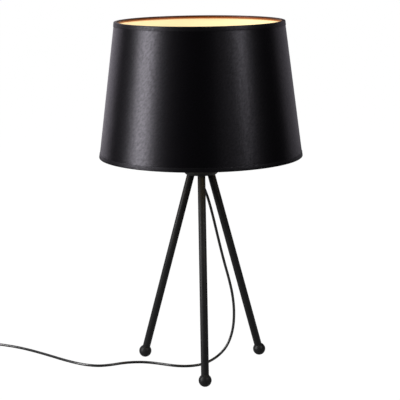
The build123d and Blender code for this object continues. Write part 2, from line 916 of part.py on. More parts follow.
def cord_tie():
    """A flat band round all the strands on one side of the coil."""
    reach_out = coil_radius(tie_turn) + cord_r + tie_gap
    reach_in = coil_radius(coil_turns_in - 1 + tie_turn) - cord_r - tie_gap
    low = coil_z - cord_r - tie_gap
    high = coil_z + coil_layer + cord_r + tie_gap
    width = reach_out - reach_in
    height = high - low
    loop = RectangleRounded(width + 2 * tie_wall, height + 2 * tie_wall, tie_round + tie_wall)
    loop -= RectangleRounded(width, height, tie_round)
    band = Rot(90, 0, 0) * extrude(loop, tie_width / 2, both=True)
    seated = Pos((reach_in + reach_out) / 2, 0, (low + high) / 2) * band
    return Pos(coil_x, coil_y, 0) * (Rot(0, 0, coil_start_angle + 360 * tie_turn) * seated)


def plug_body():
    half_widths = [
        (plug_face_width, 0), (plug_face_width, plug_face_depth), (plug_waist_width, plug_waist_depth),
        (plug_grip_width, plug_grip_depth), (plug_nose_width, plug_body_length)]
    right = [(width / 2, depth) for width, depth in half_widths]
    left = [(-width, depth) for width, depth in reversed(right)]
    body = extrude(make_face(Polyline(*right, *left, close=True)), plug_z, both=True)
    half_nose = plug_nose_thickness / 2
    side = Polyline(
        (0, 0, -plug_z), (0, plug_grip_depth, -plug_z), (0, plug_body_length, -half_nose),
        (0, plug_body_length, half_nose), (0, plug_grip_depth, plug_z), (0, 0, plug_z), close=True)
    body &= extrude(make_face(side), plug_face_width, dir=(1, 0, 0), both=True)
    body = fillet(body.edges(), plug_round)
    relief_end = plug_body_length + plug_relief_length
    relief = Cone(plug_relief_d / 2, relief_tip_r, plug_relief_length + plug_round,
                  align=(Align.CENTER, Align.CENTER, Align.MIN))
    body += Pos(0, plug_body_length - plug_round, 0) * (Rot(-90, 0, 0) * relief)
    body -= Rot(-90, 0, 0) * rod(cord_hole_r, plug_body_length - plug_cord_hold, relief_end + cord_d)
    for x in (-pin_spacing / 2, pin_spacing / 2):
        body -= Pos(x, 0, 0) * (Rot(-90, 0, 0) * rod(pin_core_d / 2 + thread_gap, -cord_d, pin_root))
    return at_plug(body)


def at_plug(piece):
    return Pos(plug_x, plug_face_y, plug_z) * piece


def along_pins(piece):
    """Copies of a piece on the two pins, with its Z axis pointing out of the plug's face."""
    return [
        at_plug(Pos(side * pin_spacing / 2, 0, 0) * (Rot(90, 0, 0) * piece)) for side in (-1, 1)]


def plug_pins():
    pin = turned(
        (0, -pin_root),
        (pin_core_d / 2, -pin_root),
        (pin_core_d / 2, sleeve_band_length + thread_gap),
        (pin_d / 2, sleeve_band_length + thread_gap),
        (pin_d / 2, pin_length, pin_round),
        (0, pin_length))
    return along_pins(pin)


def plug_sleeves():
    return along_pins(pipe(sleeve_band_d / 2, pin_core_d / 2 + thread_gap, 0, sleeve_band_length))


def cord_held():
    """The straight stretches of cord inside the switch's two ends and the plug."""
    stretches = [
        (switch_x, switch_split_z, switch_end_y - switch_cord_hold, switch_nose_y),
        (switch_x, switch_split_z, switch_tail_nose_y, switch_tail_y + switch_cord_hold),
        (plug_x, plug_z, plug_nose_y - plug_cord_hold, plug_relief_y)]
    return [Pos(x, 0, z) * (Rot(-90, 0, 0) * rod(cord_r, low, high)) for x, z, low, high in stretches]


coil_exit = coil_point(coil_turns) + coil_tangent(coil_turns) * cord_d
plug_x = coil_exit.X
end_route = [
    (coil_exit.X, coil_exit.Y, coil_exit.Z),
    (coil_exit.X, -51.0, coil_exit.Z),
    (coil_exit.X + 0.8, -57.5, 7.3),
    (plug_x, -64.0, plug_z),
    (plug_x, plug_relief_y, plug_z),
]

nodes = {
    "shade_cover": drum_wall(cover_out, cover_wall),
    "shade_lining": drum_wall(lining_out, lining_wall),
    "shade_top_hem": hem(shade_top_z, -1),
    "shade_bottom_hem": bottom_hem(),
    "shade_top_ring": edge_ring(shade_top_z, -1),
    "shade_bottom_ring": edge_ring(shade_bottom_z, 1),
    "fitter_arms": fitter_arms(),
    "fitter_ring": fitter_ring(),
    "hub": hub(),
    "leg_top_plugs": each_leg(top_plug),
    "leg_studs": each_leg(leg_stud),
    "foot_plugs": each_leg(foot_plug),
    "foot_studs": each_leg(foot_stud),
    "threaded_stem": stem(),
    "stem_washer": stem_washer(),
    "stem_nut": stem_nut(),
    "cord_grip": cord_grip(),
    "cord_inside": rod(cord_r, grip_z, sheath_top_z),
    "cord_held": cord_held(),
    "supply_wires": supply_wires(),
    "holder_cap": holder_cap(),
    "holder_block": holder_block(),
    "holder_screws": around(2, 0, terminal_screw()),
    "holder_shell": holder_shell(),
    "holder_contact": holder_contact(),
    "holder_sleeve": holder_sleeve(),
    "shade_nut_lower": shade_nut(fitter_z - seat_gap, -1),
    "shade_nut_upper": shade_nut(fitter_z + fitter_ring_wall + seat_gap, 1),
    "bulb_tip": bulb_tip(),
    "bulb_insulator": bulb_insulator(),
    "bulb_cap": bulb_cap(),
    "bulb_globe": bulb_globe(),
    "bulb_led_board": led_board(),
    "switch_base": switch_base(),
    "switch_cover": switch_cover(),
    "switch_rocker": switch_rocker(),
    "switch_contacts": switch_contacts(),
    "switch_screws": switch_screws(),
    "cord_lead": cord_tube("cord_lead", lead_route, cord_r),
    "cord_tail": cord_tube("cord_tail", tail_route, cord_r),
    "cord_coil": cord_coil(),
    "cord_end": cord_tube("cord_end", end_route, cord_r),
    "cord_tie": cord_tie(),
    "plug_body": plug_body(),
    "plug_pins": plug_pins(),
    "plug_sleeves": plug_sleeves(),
}
for leg_name, leg_angle in leg_angles.items():
    nodes[f"leg_{leg_name}"] = leg_tube(leg_angle)
    nodes[f"foot_{leg_name}"] = ball_foot(leg_angle)

os.makedirs("parts", exist_ok=True)
for node_name, shape in nodes.items():
    solids = shape if isinstance(shape, list) else [shape]
    pieces = [solid for item in solids for solid in item.solids()]
    export_step(pieces[0] if len(pieces) == 1 else Compound(children=pieces), f"parts/{node_name}.step")
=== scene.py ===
import json
import math
import bpy
from mathutils import Matrix, Vector


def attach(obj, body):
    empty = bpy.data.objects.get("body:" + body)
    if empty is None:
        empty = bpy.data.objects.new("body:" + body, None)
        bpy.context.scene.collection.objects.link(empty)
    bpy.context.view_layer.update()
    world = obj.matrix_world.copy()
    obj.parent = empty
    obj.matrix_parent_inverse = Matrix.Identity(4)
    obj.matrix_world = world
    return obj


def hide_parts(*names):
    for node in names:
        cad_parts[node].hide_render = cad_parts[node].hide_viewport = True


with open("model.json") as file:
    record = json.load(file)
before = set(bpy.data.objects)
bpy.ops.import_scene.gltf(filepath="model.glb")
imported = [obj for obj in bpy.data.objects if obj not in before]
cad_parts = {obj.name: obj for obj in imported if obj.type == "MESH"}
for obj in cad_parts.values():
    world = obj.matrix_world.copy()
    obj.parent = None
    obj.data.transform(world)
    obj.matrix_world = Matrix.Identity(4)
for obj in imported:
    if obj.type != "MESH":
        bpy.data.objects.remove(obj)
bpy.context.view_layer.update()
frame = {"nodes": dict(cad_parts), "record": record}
nodes = frame["nodes"]
scene = bpy.context.scene
mm = 0.001  # the dictionaries hold millimetres, and Blender takes metres


def inMetres(sizes):
    return [size * mm for size in sizes]


# Camera, at the photograph's viewing angle

cameraSet = {
    "place": (-50.58, -2098.79, 660.09),
    "pitchDown": 10.916,
    "yawRight": 1.323,
    "roll": -0.645,
    "focalPixels": 1440.1,
    "imagePixels": 400,
    "sensor": 36.0,
    "clip": (50, 200000),
}


def makeCamera(values):
    data = bpy.data.cameras.new("photoCamera")
    data.sensor_fit = "HORIZONTAL"
    data.sensor_width = values["sensor"]
    data.lens = values["focalPixels"] / values["imagePixels"] * values["sensor"]
    data.clip_start, data.clip_end = inMetres(values["clip"])
    camera = bpy.data.objects.new("photoCamera", data)
    scene.collection.objects.link(camera)
    yaw = Matrix.Rotation(math.radians(-values["yawRight"]), 4, "Z")
    pitch = Matrix.Rotation(math.radians(90 - values["pitchDown"]), 4, "X")
    roll = Matrix.Rotation(math.radians(values["roll"]), 4, "Z")
    camera.matrix_world = Matrix.Translation(Vector(values["place"]) * mm) @ yaw @ pitch @ roll
    scene.camera = camera


makeCamera(cameraSet)
print("camera ready")

# Material helpers


def newMaterial(name):
    material = bpy.data.materials.new(name)
    material.use_nodes = True
    tree = material.node_tree
    return material, tree, tree.nodes["Principled BSDF"]


def setInputs(node, values):
    for socket, value in values.items():
        node.inputs[socket].default_value = value


def feedInputs(tree, node, sources):
    for socket, source in sources.items():
        tree.links.new(source, node.inputs[socket])


def addNode(tree, kind, inputs=(), **values):
    # each input takes either another node's output or a plain number
    node = tree.nodes.new(kind)
    for key, value in values.items():
        setattr(node, key, value)
    for socket, source in inputs:
        if hasattr(source, "is_linked"):
            tree.links.new(source, node.inputs[socket])
        else:
            node.inputs[socket].default_value = source
    return node


def maths(tree, operation, first, second=0.0, third=0.0):
    inputs = [(0, first), (1, second), (2, third)]
    return addNode(tree, "ShaderNodeMath", inputs, operation=operation).outputs[0]


def times(tree, first, second):
    return maths(tree, "MULTIPLY", first, second)


def timesPlus(tree, first, second, third):
    return maths(tree, "MULTIPLY_ADD", first, second, third)


def shareOf(tree, share, first, second):
    # this share of the first, and the rest of the second
    return timesPlus(tree, first, share, times(tree, second, 1 - share))


def remap(tree, value, low, high, fromRange=(0.0, 1.0)):
    inputs = [(0, value), (1, fromRange[0]), (2, fromRange[1]), (3, low), (4, high)]
    return addNode(tree, "ShaderNodeMapRange", inputs).outputs[0]


def mixColours(tree, factor, first, second):
    node = addNode(tree, "ShaderNodeMix", [(0, factor)], data_type="RGBA")
    for socket, colour in ((6, first), (7, second)):  # the Mix node's two colour inputs
        if hasattr(colour, "is_linked"):
            tree.links.new(colour, node.inputs[socket])
        else:
            node.inputs[socket].default_value = (*colour, 1)
    return node.outputs[2]


def dim(colour, share):
    return tuple(share * part for part in colour)


def noise(tree, vector, scale=1.0, detail=3.0, roughness=0.55):
    inputs = [("Vector", vector), ("Scale", scale), ("Detail", detail), ("Roughness", roughness)]
    return addNode(tree, "ShaderNodeTexNoise", inputs).outputs[0]


def combine(tree, x, y, z=0.0):
    return addNode(tree, "ShaderNodeCombineXYZ", [(0, x), (1, y), (2, z)]).outputs[0]


def objectPlace(tree):
    return addNode(tree, "ShaderNodeTexCoord").outputs["Object"]


def axesOf(tree, place):
    return addNode(tree, "ShaderNodeSeparateXYZ", [(0, place)]).outputs


def addBump(tree, shader, height, strength, depth):
    inputs = [("Height", height), ("Strength", strength), ("Distance", depth * mm)]
    feedInputs(tree, shader, {"Normal": addNode(tree, "ShaderNodeBump", inputs).outputs[0]})


def newGroup(name, inputs, outputs):
    group = bpy.data.node_groups.new(name, "ShaderNodeTree")
    for socket, value in inputs.items():
        made = group.interface.new_socket(socket, in_out="INPUT", socket_type="NodeSocketFloat")
        made.default_value = value
    for socket in outputs:
        group.interface.new_socket(socket, in_out="OUTPUT", socket_type="NodeSocketFloat")
    return group, group.nodes.new("NodeGroupInput").outputs, group.nodes.new("NodeGroupOutput")


def useGroup(tree, group, values):
    node = addNode(tree, "ShaderNodeGroup", node_tree=group)
    setInputs(node, values)
    return node.outputs


# Shared effects

weaveSet = {
    "slubAround": (5.0, 600.0),  # per radian round the drum, and per metre up it
    "slubUp": (90.0, 30.0),
    "aroundShare": 0.6,
    "twillRadius": 137.0,
    "twill": (0.54, 0.90),  # how fine the slanted grain is along and across its slant
    "waves": 34.0,
}


def makeClothGroup(values):
    # threads round the drum and up it, slubs in both, a slanted grain, and the stiff sheet's slow waves
    group, given, out = newGroup(
        "drumCloth", {"Threads Around": 1350.0, "Threads Up": 1540.0, "Grain": 270.0},
        ["Threads", "Slub", "Grain", "Wave"])
    place = objectPlace(group)
    x, y, z = axesOf(group, place)
    angle = maths(group, "ARCTAN2", y, x)
    across = maths(group, "SINE", times(group, angle, given["Threads Around"]))
    up = maths(group, "SINE", times(group, z, times(group, given["Threads Up"], math.tau)))
    threads = timesPlus(group, times(group, across, up), 0.5, 0.5)
    slubs = []
    for perRadian, perMetre in (values["slubAround"], values["slubUp"]):
        stretched = combine(group, times(group, angle, perRadian), times(group, z, perMetre))
        slubs.append(noise(group, stretched))
    arc = times(group, angle, values["twillRadius"] * mm)
    along, aside = values["twill"]
    twill = combine(
        group, times(group, maths(group, "ADD", z, arc), along),
        times(group, maths(group, "SUBTRACT", z, arc), aside))
    feedInputs(group, out, {
        "Threads": threads,
        "Slub": shareOf(group, values["aroundShare"], *slubs),
        "Grain": noise(group, twill, given["Grain"], detail=1.0, roughness=0.5),
        "Wave": noise(group, place, values["waves"], detail=2.0)})
    return group


def makeGrainGroup():
    # moulded or sprayed surfaces: a fine texture, and slow patches of handling
    group, given, out = newGroup("fineGrain", {"Grain": 900.0, "Patch": 14.0}, ["Height", "Patch"])
    place = objectPlace(group)
    feedInputs(group, out, {
        "Height": noise(group, place, given["Grain"], detail=4.0, roughness=0.5),
        "Patch": noise(group, place, given["Patch"], detail=5.0, roughness=0.5)})
    return group


def makeBrushGroup():
    # fine marks that run round a turned piece
    group, given, out = newGroup(
        "turnedMarks", {"Marks": 3500.0, "Length": 30.0, "Patch": 25.0}, ["Height", "Patch"])
    place = objectPlace(group)
    x, y, z = axesOf(group, place)
    ring = combine(group, times(group, x, given["Length"]), times(group, y, given["Length"]),
                   times(group, z, given["Marks"]))
    feedInputs(group, out, {
        "Height": noise(group, ring, detail=2.0),
        "Patch": noise(group, place, given["Patch"], detail=4.0)})
    return group


clothGroup = makeClothGroup(weaveSet)
grainGroup = makeGrainGroup()
brushGroup = makeBrushGroup()

# Shade's sizes, which its finishes need too

shadeSet = {
    "bottomRadius": 150.0,
    "topRadius": 124.5,
    "bottomZ": 322.0,
    "topZ": 520.0,
    "hemWall": 0.5,
    "glueGap": 0.05,
    "coverWall": 0.7,
    "liningWall": 0.4,
    "hemHeight": 6.5,
    "hemRound": 0.9,
    "bandRound": 0.2,
    "wire": 3.0,
    "wireGap": 0.1,
    "steps": 288,
    "seamWidth": 12.0,
    "seamLift": 0.4,
    "seamSink": 0.05,
    "seamTuck": 1.0,
    "seamAngle": 100.0,
    "seamSteps": 10,
}


def drumSlope(values):
    return (values["topRadius"] - values["bottomRadius"]) / (values["topZ"] - values["bottomZ"])


# Finishes of the lamp

clothSet = {
    "slubShare": 0.3,
    "threadShare": 0.3,
    "waveHeight": 4.5,
    "toneRange": (0.35, 0.65),
    "yarnRange": (0.25, 0.75),
    "yarnSheen": 0.42,
    "depth": 0.2,
    "tint": (0.93, 0.885, 1.0, 1.0),
    "sheen": 0.012,
    "sheenRoughness": 0.4,
}

# painted bulb light on the hem's inner fold: dark is its painted shade, lit is its painted glow
foldSet = {
    "dark": (0.06, 0.012, 0.004),
    "lit": (0.56, 0.15, 0.024),
    "depth": (2.0, 3.0),  # from the drum's outside to the fold
    "shadedEdge": (515.8, 518.4),
    "glowRise": (330.0, 510.0),
    "leastGlow": 0.2,
}

liningSet = {
    "pale": (0.86, 0.73, 0.42),
    "deep": (0.80, 0.65, 0.34),
    # painted bulb light: the lining's glow colour, weaker lower down
    "glow": (1.0, 0.90, 0.61),
    "amber": (0.55, 0.17, 0.035),
    "strength": 0.53,
    "marks": 2600.0,
    "markShare": 0.5,
    "markedGlow": 0.94,
    "glowRise": (330.0, 470.0),
    "lowGlow": 0.22,
    # a narrow amber band of painted shade beside each hem, with less painted glow
    "topEdgeShade": (514.0, 515.8),
    "bottomEdgeShade": (326.2, 328.0),
    "edgeShadeGlow": 0.5,
    "roughness": (0.38, 0.55),
    "metal": 0.25,
    "bump": 0.15,
    "depth": 0.2,
}

opalSet = {
    "crown": (1.0, 0.83, 0.52),
    "neck": (1.0, 0.62, 0.24),
    "strength": 0.95,
    "crownGlass": (0.93, 0.9, 0.84),
    "neckGlass": (0.86, 0.8, 0.7),
    "neckRange": (382.0, 430.0),
    "patchShare": 0.2,
    "grain": 500.0,
    "patch": 40.0,
    "roughness": 0.3,
    "bump": 0.05,
    "depth": 0.1,
}

paintSet = {"patch": 18.0, "patchRange": (0.3, 0.7), "depth": 0.2}
metalSet = {"markRange": (0.25, 0.75), "patchRange": (0.3, 0.7), "bump": 0.1, "depth": 0.1}


def paintedFoldLight(tree, colour, values):
    # the hem's inner side with painted bulb light: painted shade in brown at the edge and lower down, and a
    # painted orange glow where it meets the lining
    x, y, z = axesOf(tree, objectPlace(tree))
    radius = maths(tree, "SQRT", timesPlus(tree, x, x, times(tree, y, y)))
    slope = drumSlope(shadeSet)
    outside = timesPlus(tree, z, slope, (shadeSet["bottomRadius"] - slope * shadeSet["bottomZ"]) * mm)
    inner = remap(tree, maths(tree, "SUBTRACT", outside, radius), 0, 1, inMetres(values["depth"]))
    glow = times(tree, remap(tree, z, 1, 0, inMetres(values["shadedEdge"])),
                 remap(tree, z, values["leastGlow"], 1, inMetres(values["glowRise"])))
    return mixColours(tree, inner, colour, mixColours(tree, glow, values["dark"], values["lit"]))


def makeCloth(name, dark, light, roughness, threads, bump, gloss, fold=None, values=clothSet):
    material, tree, shader = newMaterial(name)
    cloth = useGroup(tree, clothGroup, {"Threads Around": threads[0], "Threads Up": threads[1]})
    tone = shareOf(tree, values["slubShare"], cloth["Slub"], cloth["Grain"])
    colour = mixColours(tree, remap(tree, tone, 0, 1, values["toneRange"]), dark, light)
    if fold:
        colour = paintedFoldLight(tree, colour, fold)
    threadShare = values["threadShare"]
    yarn = timesPlus(tree, cloth["Threads"], threadShare, maths(tree, "SUBTRACT", tone, threadShare / 2))
    feedInputs(tree, shader, {
        "Base Color": colour,
        "Roughness": remap(tree, tone, roughness[1], roughness[0], values["toneRange"]),
        "Metallic": remap(tree, yarn, values["yarnSheen"], 0, values["yarnRange"])})  # bright and dull yarn
    height = timesPlus(tree, cloth["Threads"], threadShare, cloth["Slub"])
    height = timesPlus(tree, cloth["Wave"], values["waveHeight"], height)
    addBump(tree, shader, height, bump, values["depth"])
    setInputs(shader, {
        "Specular IOR Level": gloss, "Specular Tint": values["tint"],
        "Sheen Weight": values["sheen"], "Sheen Roughness": values["sheenRoughness"]})
    return material


def makeLining(name, values):
    # gold film: fine marks round it, a painted warm glow of bulb light that is weaker lower down, and a
    # narrow amber band of painted shade beside each hem
    material, tree, shader = newMaterial(name)
    brush = useGroup(tree, brushGroup, {"Marks": values["marks"]})
    tone = shareOf(tree, values["markShare"], brush["Height"], brush["Patch"])
    marked = remap(tree, tone, 0, 1, metalSet["patchRange"])
    z = axesOf(tree, objectPlace(tree))["Z"]
    # painted shade: a narrow amber band beside each hem
    edgeShade = maths(tree, "MAXIMUM", remap(tree, z, 0, 1, inMetres(values["topEdgeShade"])),
                 remap(tree, z, 1, 0, inMetres(values["bottomEdgeShade"])))
    film = mixColours(tree, marked, values["pale"], values["deep"])
    glow = values["glow"]
    lit = mixColours(tree, marked, glow, dim(glow, values["markedGlow"]))
    # the painted glow weakens lower down on the lining
    risen = remap(tree, z, 0, 1, inMetres(values["glowRise"]))
    lit = mixColours(tree, risen, dim(glow, values["lowGlow"]), lit)
    feedInputs(tree, shader, {
        "Base Color": mixColours(tree, edgeShade, film, values["amber"]),
        "Emission Color": mixColours(tree, edgeShade, lit, dim(values["amber"], values["edgeShadeGlow"])),
        "Roughness": remap(tree, tone, *values["roughness"], metalSet["patchRange"])})
    addBump(tree, shader, brush["Height"], values["bump"], values["depth"])
    setInputs(shader, {"Metallic": values["metal"], "Emission Strength": values["strength"]})
    return material


def makePaint(name, dark, light, roughness, grain, bump, gloss=0.5, values=paintSet):
    material, tree, shader = newMaterial(name)
    marks = useGroup(tree, grainGroup, {"Grain": grain, "Patch": values["patch"]})
    patch = remap(tree, marks["Patch"], 0, 1, values["patchRange"])
    feedInputs(tree, shader, {
        "Base Color": mixColours(tree, patch, dark, light),
        "Roughness": remap(tree, marks["Patch"], *roughness, values["patchRange"])})
    addBump(tree, shader, marks["Height"], bump, values["depth"])
    setInputs(shader, {"Specular IOR Level": gloss})
    return material


def makeMetal(name, dark, light, roughness, marks, values=metalSet):
    material, tree, shader = newMaterial(name)
    brush = useGroup(tree, brushGroup, {"Marks": marks})
    patch = remap(tree, brush["Patch"], 0, 1, values["patchRange"])
    feedInputs(tree, shader, {
        "Base Color": mixColours(tree, patch, dark, light),
        "Roughness": remap(tree, brush["Height"], *roughness, values["markRange"])})
    addBump(tree, shader, brush["Height"], values["bump"], values["depth"])
    setInputs(shader, {"Metallic": 1.0})
    return material


def makeOpal(name, values):
    # lit glass: whiter at the crown, warmer towards the neck
    material, tree, shader = newMaterial(name)
    marks = useGroup(tree, grainGroup, {"Grain": values["grain"], "Patch": values["patch"]})
    z = axesOf(tree, objectPlace(tree))["Z"]
    neck = remap(tree, z, 1, 0, inMetres(values["neckRange"]))
    tone = shareOf(tree, values["patchShare"], marks["Patch"], neck)
    feedInputs(tree, shader, {
        "Emission Color": mixColours(tree, tone, values["crown"], values["neck"]),
        "Base Color": mixColours(tree, tone, values["crownGlass"], values["neckGlass"])})
    addBump(tree, shader, marks["Height"], values["bump"], values["depth"])
    setInputs(shader, {"Emission Strength": values["strength"], "Roughness": values["roughness"]})
    return material


cloths = {
    "shade_fabric": {
        "name": "satinCloth", "dark": (0.0010, 0.0007, 0.0013), "light": (0.0024, 0.0019, 0.0030),
        "roughness": (0.28, 0.35), "threads": (1350.0, 1540.0), "bump": 0.2, "gloss": 0.5},
    "hem_fabric": {
        "name": "hemCloth", "dark": (0.0016, 0.0014, 0.0019), "light": (0.0034, 0.0031, 0.0040),
        "roughness": (0.37, 0.46), "threads": (1200.0, 1400.0), "bump": 0.3, "gloss": 0.38, "fold": foldSet},
}

paints = {
    "frame_wire": {
        "name": "whiteEpoxy", "dark": (0.72, 0.72, 0.70), "light": (0.80, 0.80, 0.78),
        "roughness": (0.32, 0.45), "grain": 700.0, "bump": 0.12},
    "black_paint": {
        "name": "blackPowderCoat", "dark": (0.012, 0.012, 0.0124), "light": (0.018, 0.018, 0.0186),
        "roughness": (0.42, 0.54), "grain": 1400.0, "bump": 0.22, "gloss": 0.25},
    "black_ball": {
        "name": "blackBallPlastic", "dark": (0.010, 0.010, 0.0104), "light": (0.016, 0.016, 0.0166),
        "roughness": (0.38, 0.50), "grain": 1100.0, "bump": 0.12, "gloss": 0.25},
    "holder_plastic": {
        "name": "holderPlastic", "dark": (0.016, 0.016, 0.017), "light": (0.028, 0.028, 0.030),
        "roughness": (0.36, 0.5), "grain": 1800.0, "bump": 0.2},
    "ceramic": {
        "name": "whiteCeramic", "dark": (0.80, 0.78, 0.74), "light": (0.88, 0.86, 0.82),
        "roughness": (0.2, 0.34), "grain": 500.0, "bump": 0.05},
    "bulb_black": {
        "name": "bulbGlaze", "dark": (0.012, 0.012, 0.012), "light": (0.022, 0.022, 0.022),
        "roughness": (0.12, 0.25), "grain": 600.0, "bump": 0.05},
    "wire_brown": {
        "name": "coreSheath", "dark": (0.16, 0.07, 0.03), "light": (0.26, 0.12, 0.06),
        "roughness": (0.4, 0.55), "grain": 900.0, "bump": 0.1},
    "cord_black": {
        "name": "cordSheath", "dark": (0.013, 0.013, 0.0133), "light": (0.021, 0.021, 0.0215),
        "roughness": (0.22, 0.30), "grain": 1200.0, "bump": 0.1, "gloss": 0.8},
    "switch_black": {
        "name": "switchPlastic", "dark": (0.015, 0.015, 0.016), "light": (0.026, 0.026, 0.028),
        "roughness": (0.4, 0.55), "grain": 2200.0, "bump": 0.25},
    "rocker_black": {
        "name": "rockerPlastic", "dark": (0.018, 0.018, 0.019), "light": (0.03, 0.03, 0.032),
        "roughness": (0.2, 0.32), "grain": 900.0, "bump": 0.06},
    "tie_black": {
        "name": "tieStrap", "dark": (0.015, 0.015, 0.015), "light": (0.035, 0.035, 0.035),
        "roughness": (0.7, 0.85), "grain": 1500.0, "bump": 0.6},
    "plug_black": {
        "name": "plugPlastic", "dark": (0.014, 0.014, 0.015), "light": (0.024, 0.024, 0.026),
        "roughness": (0.42, 0.56), "grain": 2000.0, "bump": 0.25},
}

metals = {
    "zinc_steel": {
        "name": "zincSteel", "dark": (0.50, 0.50, 0.49), "light": (0.66, 0.66, 0.64),
        "roughness": (0.28, 0.42), "marks": 4000.0},
    "brass": {
        "name": "brass", "dark": (0.66, 0.46, 0.18), "light": (0.80, 0.60, 0.28),
        "roughness": (0.25, 0.4), "marks": 3500.0},
    "bulb_metal": {
        "name": "bulbNickel", "dark": (0.60, 0.59, 0.57), "light": (0.76, 0.75, 0.72),
        "roughness": (0.2, 0.34), "marks": 3000.0},
    "pin_nickel": {
        "name": "pinNickel", "dark": (0.62, 0.61, 0.58), "light": (0.80, 0.79, 0.76),
        "roughness": (0.14, 0.28), "marks": 3000.0},
}

finishes = {
    **{slot: makeCloth(**values) for slot, values in cloths.items()},
    "gold_lining": makeLining("goldFilm", liningSet),
    "bulb_opal": makeOpal("opalGlass", opalSet),
    **{slot: makePaint(**values) for slot, values in paints.items()},
    **{slot: makeMetal(**values) for slot, values in metals.items()},
}
print("finishes ready:", len(finishes))

slotOfNode = {part["node"]: part["material_slot"] for part in frame["record"]["subparts"]}
for name, node in nodes.items():
    node.data.materials.clear()
    node.data.materials.append(finishes[slotOfNode[name]])

# Modelling helpers

weld = 0.001  # points nearer to each other than this become one
turnedSmooth = 35  # degrees; edges sharper than this stay sharp


def deselectAll():
    if bpy.context.object and bpy.context.object.mode != "OBJECT":
        bpy.ops.object.mode_set(mode="OBJECT")
    bpy.ops.object.select_all(action="DESELECT")


def activate(piece):
    deselectAll()
    piece.select_set(True)
    bpy.context.view_layer.objects.active = piece


def nameNew(name):
    piece = bpy.context.object
    piece.name = name
    piece.data.name = name
    return piece


def applyPlace():
    bpy.ops.object.transform_apply(location=True, rotation=True, scale=True)


def smoothBelow(degrees):
    bpy.ops.object.shade_smooth_by_angle(angle=math.radians(degrees))


def turnFacesOut():
    bpy.ops.mesh.select_all(action="SELECT")
    bpy.ops.mesh.normals_make_consistent(inside=False)
    bpy.ops.object.mode_set(mode="OBJECT")


def roundCorners(corners, steps=5):
    # corners are (radius, height) or (radius, height, rounding), of a closed outline
    outline = []
    for i, corner in enumerate(corners):
        here = Vector(corner[:2])
        if len(corner) < 3:
            outline.append(tuple(here))
            continue
        before = (Vector(corners[i - 1][:2]) - here).normalized()
        after = (Vector(corners[(i + 1) % len(corners)][:2]) - here).normalized()
        half = before.angle(after) / 2
        start = here + before * (corner[2] / math.tan(half))
        centre = here + (before + after).normalized() * (corner[2] / math.sin(half))
        spoke = start - centre
        turn = math.pi - 2 * half
        sign = 1 if before.x * after.y - before.y * after.x < 0 else -1
        for step in range(steps + 1):
            angle = sign * turn * step / steps
            cosine, sine = math.cos(angle), math.sin(angle)
            outline.append((centre.x + spoke.x * cosine - spoke.y * sine,
                            centre.y + spoke.x * sine + spoke.y * cosine))
    return outline


def drawLoop(name, points):
    # one vertex is drawn out from point to point and back to the first; edit mode stays on
    deselectAll()
    bpy.ops.mesh.primitive_plane_add(size=0.01, location=(0, 0, 0))
    piece = nameNew(name)
    bpy.ops.object.mode_set(mode="EDIT")
    bpy.ops.mesh.select_mode(type="VERT")
    bpy.ops.mesh.select_all(action="SELECT")
    bpy.ops.mesh.merge(type="CENTER")
    bpy.ops.transform.translate(value=points[0])
    for here, there in zip(points, points[1:] + points[:1]):
        bpy.ops.mesh.extrude_vertices_move(TRANSFORM_OT_translate={"value": there - here})
    bpy.ops.mesh.select_all(action="SELECT")
    bpy.ops.mesh.remove_doubles(threshold=weld * mm)
    return piece


def turnOutline(name, outline, steps, sweep=360.0, startAngle=0.0):
    # the outline is drawn, then spun about the lamp's axis
    start = math.radians(startAngle)
    direction = Vector((math.cos(start), math.sin(start), 0))
    points = [direction * radius * mm + Vector((0, 0, height * mm)) for radius, height in outline]
    piece = drawLoop(name, points)
    bpy.ops.mesh.spin(steps=steps, angle=math.radians(sweep), center=(0, 0, 0), axis=(0, 0, 1))
    bpy.ops.mesh.select_all(action="SELECT")
    bpy.ops.mesh.remove_doubles(threshold=weld * mm)
    if sweep < 360:
        bpy.ops.mesh.select_all(action="DESELECT")
        bpy.ops.mesh.select_non_manifold()
        bpy.ops.mesh.edge_face_add()  # closes both ends
    turnFacesOut()
    smoothBelow(turnedSmooth)
    return piece


def applyModifier(piece, kind, **values):
    activate(piece)
    modifier = piece.modifiers.new(kind.lower(), kind)
    for key, value in values.items():
        setattr(modifier, key, value)
    bpy.ops.object.modifier_apply(modifier=modifier.name)


def bevelEdges(piece, width, segments=2, sharperThan=50):
    applyModifier(piece, "BEVEL", width=width * mm, segments=segments, limit_method="ANGLE",
                  angle_limit=math.radians(sharperThan))


def joinPieces(name, *pieces):
    activate(pieces[0])
    for piece in pieces:
        piece.select_set(True)
    bpy.ops.object.join()
    return nameNew(name)


def dress(piece, body, slot, *replaced):
    piece.data.materials.clear()
    piece.data.materials.append(finishes[slot])
    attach(piece, body)
    if replaced:
        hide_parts(*replaced)
    return piece


# Shade: cloth drum, gold lining, folded hems and the lap seam at the back


def hemOut(z, values):
    return values["bottomRadius"] + drumSlope(values) * (z - values["bottomZ"])


def coverOut(z, values):
    return hemOut(z, values) - values["hemWall"] - values["glueGap"]


def liningOut(z, values):
    return coverOut(z, values) - values["coverWall"] - values["glueGap"]


def liningIn(z, values):
    return liningOut(z, values) - values["liningWall"]


def sheetOutline(surface, low, high, outward, inward, values):
    # a sheet that follows one of the drum's surfaces
    foot, top = surface(low, values), surface(high, values)
    return [(foot + outward, low), (top + outward, high), (top - inward, high), (foot - inward, low)]


